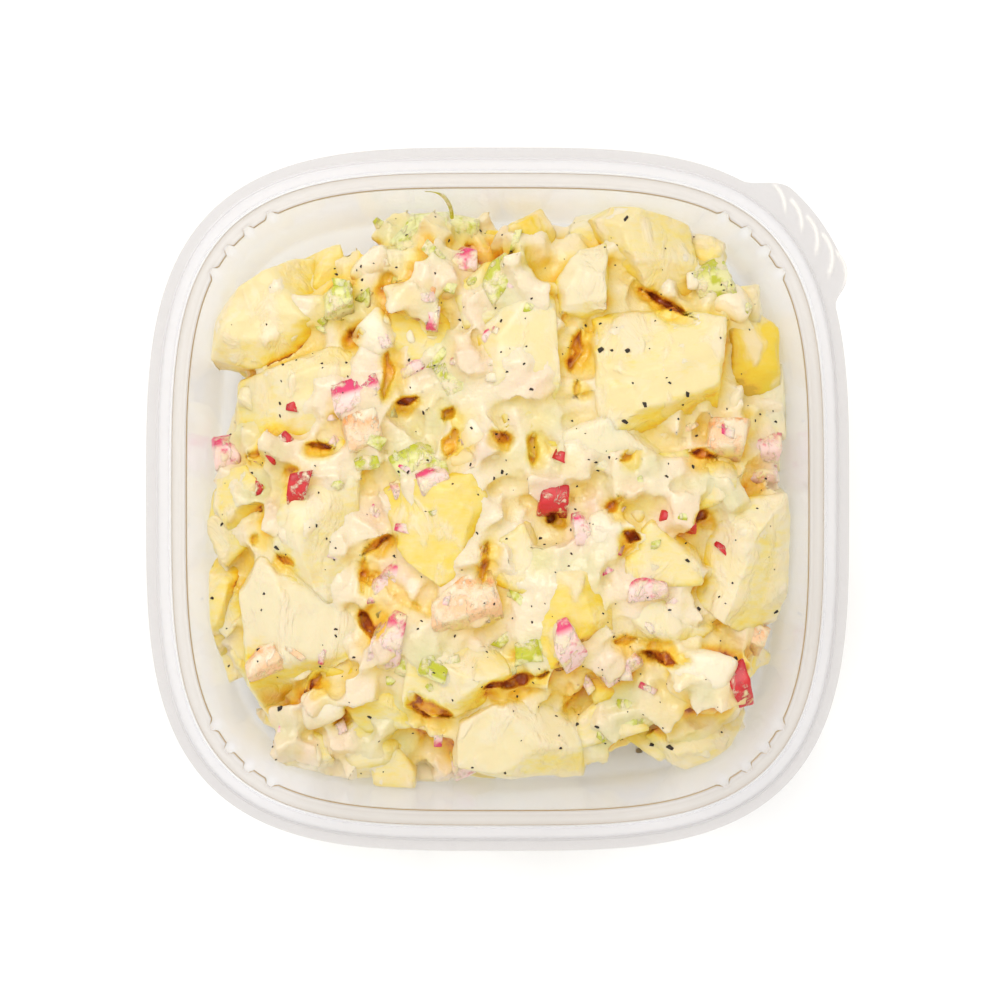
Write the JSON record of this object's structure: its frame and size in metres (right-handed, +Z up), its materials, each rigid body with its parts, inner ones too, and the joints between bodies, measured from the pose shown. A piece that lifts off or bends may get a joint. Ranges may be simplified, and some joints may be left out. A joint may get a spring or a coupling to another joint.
{
  "type": "potato salad in a clear tub",
  "caption": "Chunky potato salad with celery, red onion and peppers in cream dressing, heaped in an open clear square tub with a rounded plan, lid ledge and corner pull tab.",
  "frame": {"origin": "middle of the tub's base, on the surface that it stands on", "axes": "+Z up, out of the tub's mouth; seen from above with +X to the right, +Y is up the view, and the pull tab is at the +X +Y corner"},
  "size_m": [0.14, 0.14, 0.046],
  "materials": {
    "container": "clear and glossy, frosted on the flange and tab",
    "potato_salad": "moist, creamy"
  },
  "bodies": {
    "root": {"container": "container", "potato_salad": "potato_salad"}
  },
  "joints": []
}
